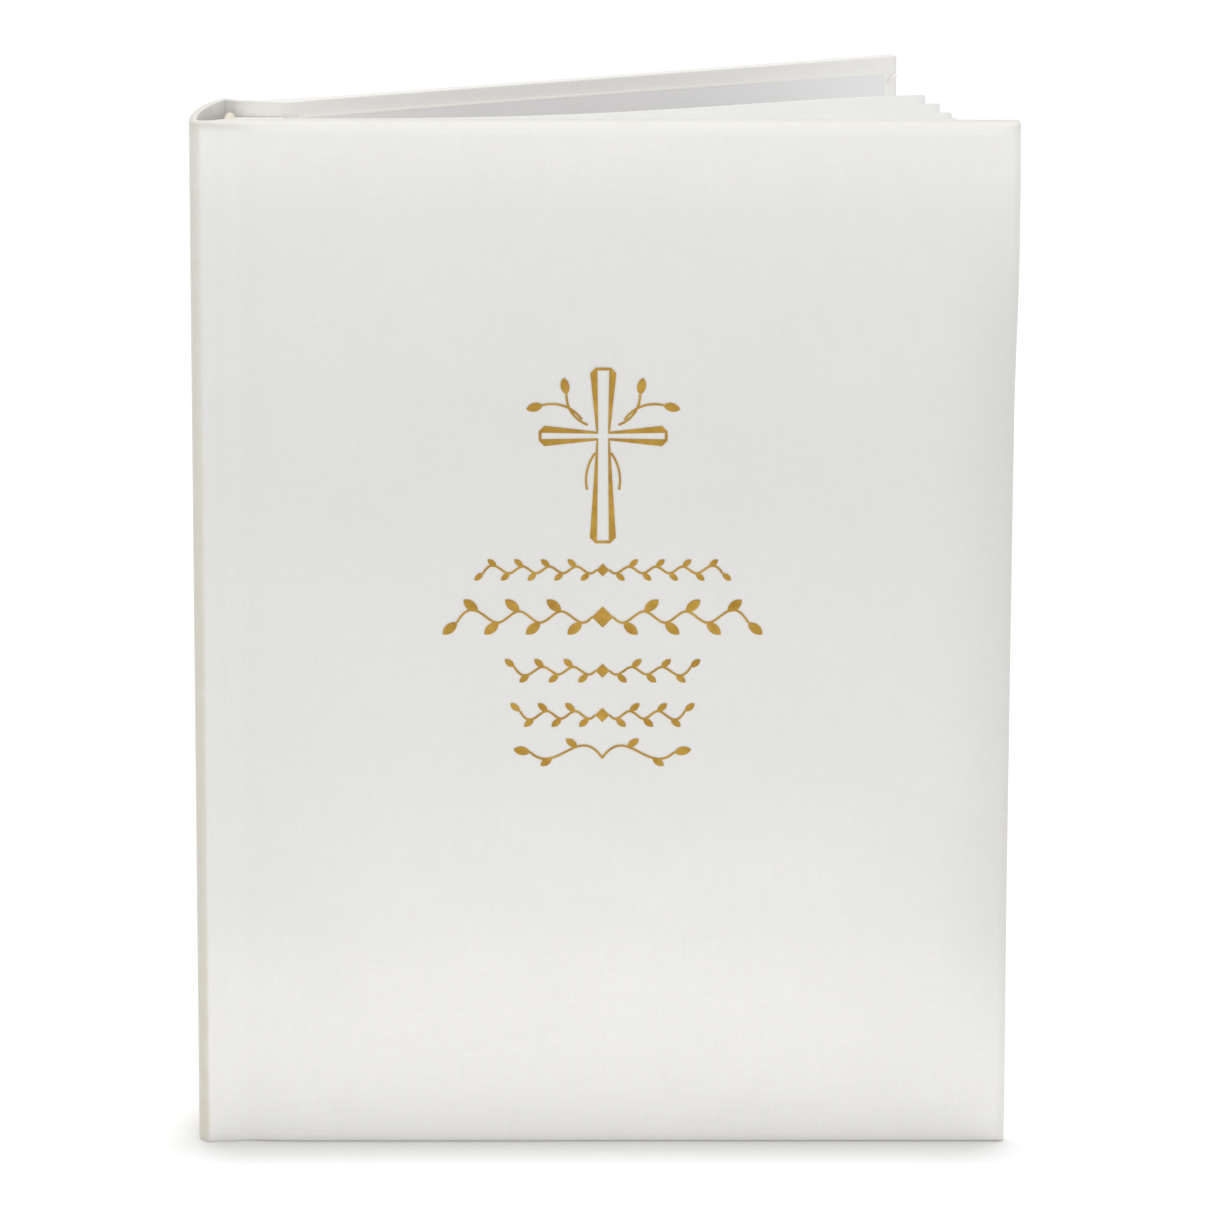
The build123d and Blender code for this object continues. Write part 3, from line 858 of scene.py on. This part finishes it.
def leaf(joint):
    body = joint["child"]
    node = nodes[body]
    points = np.array([v.co for v in node.data.vertices]) / MM
    pivot = np.array(joint["pos_m"][:2]) / MM
    low, high = points[:, 2].min(), points[:, 2].max()
    reach = np.linalg.norm(points[:, :2] - pivot, axis=1)
    far = points[reach > reach.max() - 1.0][:, :2].mean(0) - pivot
    angle, length = math.atan2(far[1], far[0]), float(np.linalg.norm(far))
    across = (points[:, :2] - pivot) @ (-math.sin(angle), math.cos(angle))
    thickness = across.max() - across.min()
    trim, head, tail = random.uniform(0, 0.5), random.uniform(0, 0.35), random.uniform(0, 0.1)
    phase, sway = random.uniform(0, 6.28), random.uniform(0.04, 0.14)
    verts, uvs = [], []
    for side in (-0.5, 0.5):
        for i in range(LEAF_COLUMNS + 1):
            s = (length - trim) * i / LEAF_COLUMNS
            turn = bend_weight(s, angle) * angle
            for k in range(LEAF_ROWS + 1):
                z = low + tail + (high - low - head - tail) * k / LEAF_ROWS
                wave = sway * math.sin(phase + z / WAVE_LENGTH) * smooth(s / WAVE_START)
                off = side * thickness + wave
                verts.append(
                    (
                        (pivot[0] + s * math.cos(turn) - off * math.sin(turn)) * MM,
                        (pivot[1] + s * math.sin(turn) + off * math.cos(turn)) * MM,
                        z * MM,
                    )
                )
                uvs.append((s * MM, z * MM))
    n, side = LEAF_ROWS + 1, (LEAF_COLUMNS + 1) * (LEAF_ROWS + 1)
    faces = []
    for i in range(LEAF_COLUMNS):
        for k in range(LEAF_ROWS):
            a, b, c, d = i * n + k, (i + 1) * n + k, (i + 1) * n + k + 1, i * n + k + 1
            faces += [(a, b, c, d), (side + d, side + c, side + b, side + a)]
        a, b = i * n, (i + 1) * n
        faces += [(b, a, side + a, side + b), (a + n - 1, b + n - 1, side + b + n - 1, side + a + n - 1)]
    far_row = LEAF_COLUMNS * n
    for k in range(LEAF_ROWS):
        far = far_row + k
        faces += [(k, k + 1, side + k + 1, side + k), (far + 1, far, side + far, side + far + 1)]
    is_flyleaf = "flyleaf" in body
    colour = FLYLEAF_COLOUR if is_flyleaf else LEAF_COLOUR
    made = piece(body + "_sheet", verts, faces, colour, uvs, smooth=False)
    made.data.materials.append(LEAF_RIM)
    for polygon in made.data.polygons:
        on_rim = polygon.area < RIM_AREA
        polygon.use_smooth = not on_rim
        polygon.material_index = int(on_rim)
    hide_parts(body)
    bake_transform(made)


for joint in frame["joints"]:
    if joint["name"].endswith("_crease"):
        leaf(joint)


# ---------------------------------------------------------------------------
# Headbands: a thread-wrapped roll at the head and the tail of the block
# ---------------------------------------------------------------------------
THREAD_PITCH = 0.0009
THREAD_RIDGE = 0.10
BAND_AROUND = 16
LINES_PER_WRAP = 6


def band(name, node):
    """A half-round roll with a ridge for each wrap of its thread."""
    lo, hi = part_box(node)
    size = hi - lo
    centre_x, radius = (lo.x + hi.x) / 2, min(size.x, 2 * size.z) / 2
    length = hi.y - lo.y
    wraps = round(length / THREAD_PITCH)
    around, along = BAND_AROUND, wraps * LINES_PER_WRAP
    verts, faces, uvs = [], [], []
    up = 1 if node == "headband" else -1
    base = lo.z if up == 1 else hi.z
    for i in range(along + 1):
        ridge = 1 - THREAD_RIDGE * (0.5 + 0.5 * math.cos(2 * math.pi * wraps * i / along))
        for j in range(around + 1):
            a = math.pi * j / around
            verts.append(
                (
                    centre_x + radius * ridge * math.cos(a),
                    lo.y + length * i / along,
                    base + up * radius * ridge * math.sin(a),
                )
            )
            uvs.append((radius * a, length * i / along))
    n = around + 1
    for i in range(along):
        for j in range(around):
            a, b, c, d = i * n + j, (i + 1) * n + j, (i + 1) * n + j + 1, i * n + j + 1
            faces.append((a, b, c, d) if up == 1 else (a, d, c, b))
        a, b = i * n, (i + 1) * n
        faces.append((a + n - 1, b + n - 1, b, a) if up == 1 else (a, b, b + n - 1, a + n - 1))
    for start, flip in ((0, False), (along * n, True)):
        cap = tuple(range(start, start + n))
        faces.append(cap if flip != (up == 1) else cap[::-1])
    made = piece(name, verts, faces, THREAD, uvs)
    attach(made, "spine_and_block")
    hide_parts(node)


band("headband_roll", "headband")
band("tailband_roll", "tailband")

# ---------------------------------------------------------------------------
# Stage, light and camera
# ---------------------------------------------------------------------------
floor_graph = Graph("pale_floor", 0.9, uv=False)
floor_graph.colour(floor_graph.mix(floor_graph.noise(3.0), rgb(246, 246, 246), rgb(249, 249, 249)))
FLOOR = 9.0
floor_corners = [(-FLOOR, -FLOOR, 0), (FLOOR, -FLOOR, 0), (FLOOR, FLOOR, 0), (-FLOOR, FLOOR, 0)]
floor = piece("floor", floor_corners, [(0, 1, 2, 3)], floor_graph.material)

world = bpy.data.worlds.new("studio")
bpy.context.scene.world = world
world.use_nodes = True
background = world.node_tree.nodes["Background"].inputs
background["Color"].default_value = (1, 1, 1, 1)
background["Strength"].default_value = 0.56


def soft_sun(name, azimuth, elevation, spread, strength):
    """A far, wide studio light: azimuth 0 shines along +Y from the front, positive from the right."""
    data = bpy.data.lights.new(name, "SUN")
    data.angle = math.radians(spread)
    data.energy = strength
    made = bpy.data.objects.new(name, data)
    a, e = math.radians(azimuth), math.radians(elevation)
    towards = Vector((math.sin(a) * math.cos(e), -math.cos(a) * math.cos(e), math.sin(e)))
    made.location = towards * 3.0
    made.rotation_mode = "QUATERNION"
    made.rotation_quaternion = (-towards).to_track_quat("-Z", "Y")
    bpy.context.scene.collection.objects.link(made)


soft_sun("key", azimuth=16, elevation=30, spread=50, strength=0.42)
soft_sun("top", azimuth=180, elevation=86.5, spread=7, strength=1.68)

camera_data = bpy.data.cameras.new("camera")
camera = bpy.data.objects.new("camera", camera_data)
bpy.context.scene.collection.objects.link(camera)
bpy.context.scene.camera = camera
# Plan x and height of the point the camera looks at, and how it looks there
AIM_X = 124.79
AIM_HEIGHT = 168.2
DISTANCE = 2002.6
ELEVATION = math.radians(12.28)
TURN = math.radians(0.64)
ROLL = math.radians(0.17)
LENS_MM = 197.3
camera_data.sensor_width = 36.0
camera_data.lens = LENS_MM
camera_data.clip_start, camera_data.clip_end = 0.1, 50.0
turn = Matrix.Rotation(-TURN, 3, "Z")
eye = turn @ Vector((AIM_X, -DISTANCE * math.cos(ELEVATION), 0))
forward = turn @ Vector((0, math.cos(ELEVATION), -math.sin(ELEVATION)))
right = turn @ Vector((1, 0, 0))
up = right.cross(forward)
level_right = right * math.cos(ROLL) + up * math.sin(ROLL)
level_up = up * math.cos(ROLL) - right * math.sin(ROLL)
camera.rotation_mode = "QUATERNION"
camera.rotation_quaternion = Matrix((level_right, level_up, -forward)).transposed().to_quaternion()
camera.location = row_point(eye.x, eye.y, AIM_HEIGHT + DISTANCE * math.sin(ELEVATION))

bpy.context.scene.view_settings.view_transform = "Standard"
